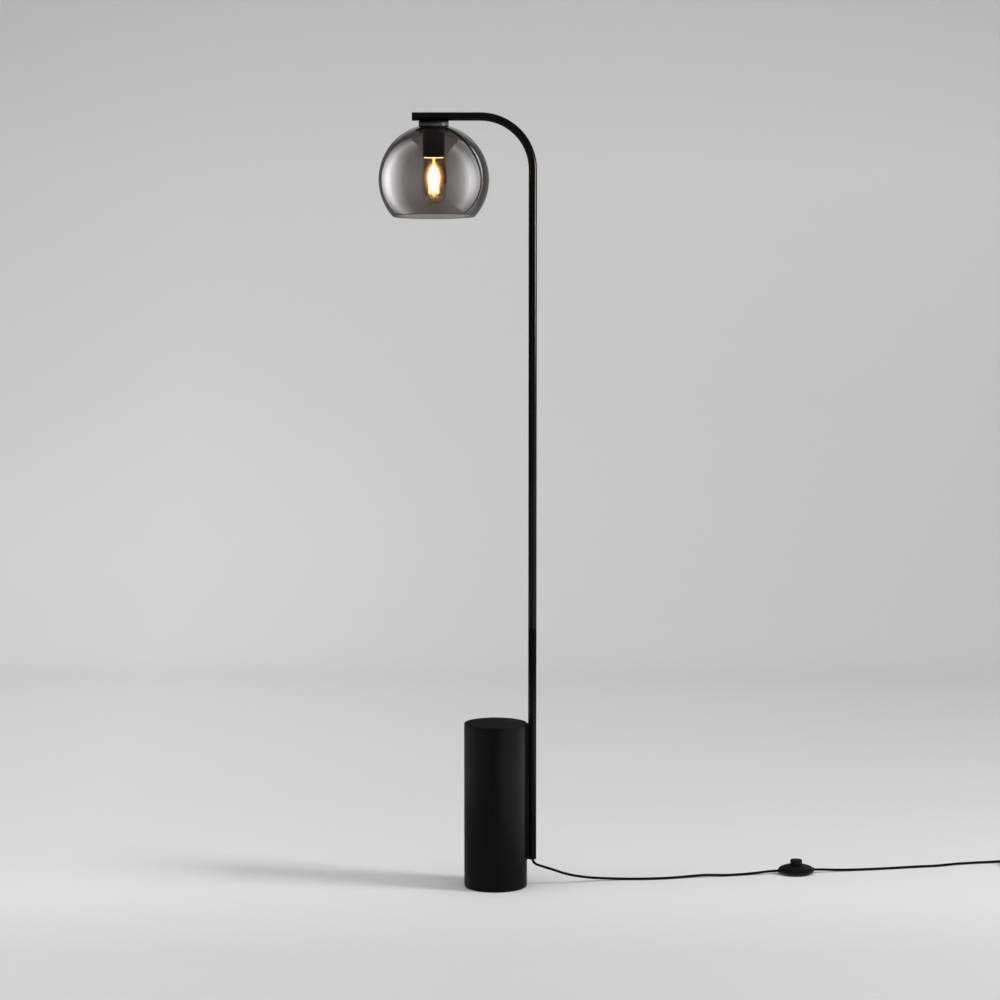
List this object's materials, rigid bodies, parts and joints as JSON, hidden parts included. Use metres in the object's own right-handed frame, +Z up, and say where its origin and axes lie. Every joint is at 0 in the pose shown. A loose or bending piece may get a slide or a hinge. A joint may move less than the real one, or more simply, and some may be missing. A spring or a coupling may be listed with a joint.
{
  "type": "globe floor lamp",
  "caption": "Floor lamp: slim cylinder base, thin side-mounted pole bent into a short arm, smoked glass globe open below around a filament bulb, corded foot switch.",
  "frame": {"origin": "middle of the base's underside, on the floor", "axes": "+Z up; +X from the base's axis to the pole, so the arm and globe reach towards -X; the picture looks along +Y"},
  "size_m": [1.3283, 0.3156, 1.5],
  "materials": {
    "black_powder_coat": "satin black powder coat",
    "zinc_steel": "zinc-plated steel",
    "ballast_iron": "raw grey casting",
    "felt": "black felt",
    "black_rubber": "matt black rubber",
    "black_plastic": "fine-textured black plastic",
    "smoked_glass": "smoked, transparent, glossy",
    "clear_glass": "clear, slightly amber",
    "ceramic": "white glazed ceramic",
    "brass": "bright brass",
    "bulb_nickel": "nickel-plated cap",
    "filament": "glowing filament",
    "cord_black": "black covered flex",
    "spring_steel": "bright spring wire"
  },
  "bodies": {
    "lamp": {"base_tube": "black_powder_coat", "base_lid": "black_powder_coat", "base_plate": "black_powder_coat", "ballast": "ballast_iron", "foot_pad": "felt", "tie_rod": "zinc_steel", "tie_rod_nuts": "zinc_steel", "tie_rod_washers": "zinc_steel", "pole_spine": "black_plastic", "pole_lower": "black_powder_coat", "pole_upper": "black_powder_coat", "pole_coupler": "zinc_steel", "pole_bolts": "zinc_steel", "pole_bolt_washers": "zinc_steel", "pole_inserts": "zinc_steel", "cord_bushing": "black_rubber", "arm_end_cap": "black_powder_coat", "arm_nut": "zinc_steel", "nipple": "zinc_steel", "cup_locknut": "zinc_steel", "shade_cup": "black_powder_coat", "cup_gasket": "black_rubber", "glass_shade": "smoked_glass", "shade_ring": "black_plastic", "ring_gasket": "black_rubber", "holder_cap": "black_plastic", "holder_sleeve": "black_plastic", "holder_core": "ceramic", "holder_shell": "brass", "holder_contacts": "brass", "bulb_cap": "bulb_nickel", "bulb_insulator": "ceramic", "bulb_contact": "brass", "bulb_glass": "clear_glass", "bulb_stem": "clear_glass", "bulb_leads": "bulb_nickel", "bulb_filaments": "filament", "inner_cord": "cord_black", "cord_to_switch": "cord_black", "cord_to_coil": "cord_black", "cord_coil": "cord_black", "cord_to_plug": "cord_black", "coil_tie": "black_rubber", "switch_cover": "black_plastic", "switch_plate": "black_plastic", "switch_screws": "zinc_steel", "switch_ring": "black_rubber", "switch_mechanism": "black_plastic", "switch_spring": "spring_steel", "switch_terminals": "brass", "switch_clamps": "black_plastic", "switch_grommets": "black_rubber", "plug_body": "black_plastic", "plug_pins": "bulb_nickel", "plug_sleeves": "black_plastic"},
    "button": {"switch_button": "black_plastic"}
  },
  "joints": [
    {"name": "button_press", "type": "slide", "parent": "lamp", "child": "button", "axis": [0, 0, -1], "range_m": [0, 0.003], "stiffness_N_per_m": 900, "springref_m": -0.002, "deforming": ["switch_spring"]}
  ]
}
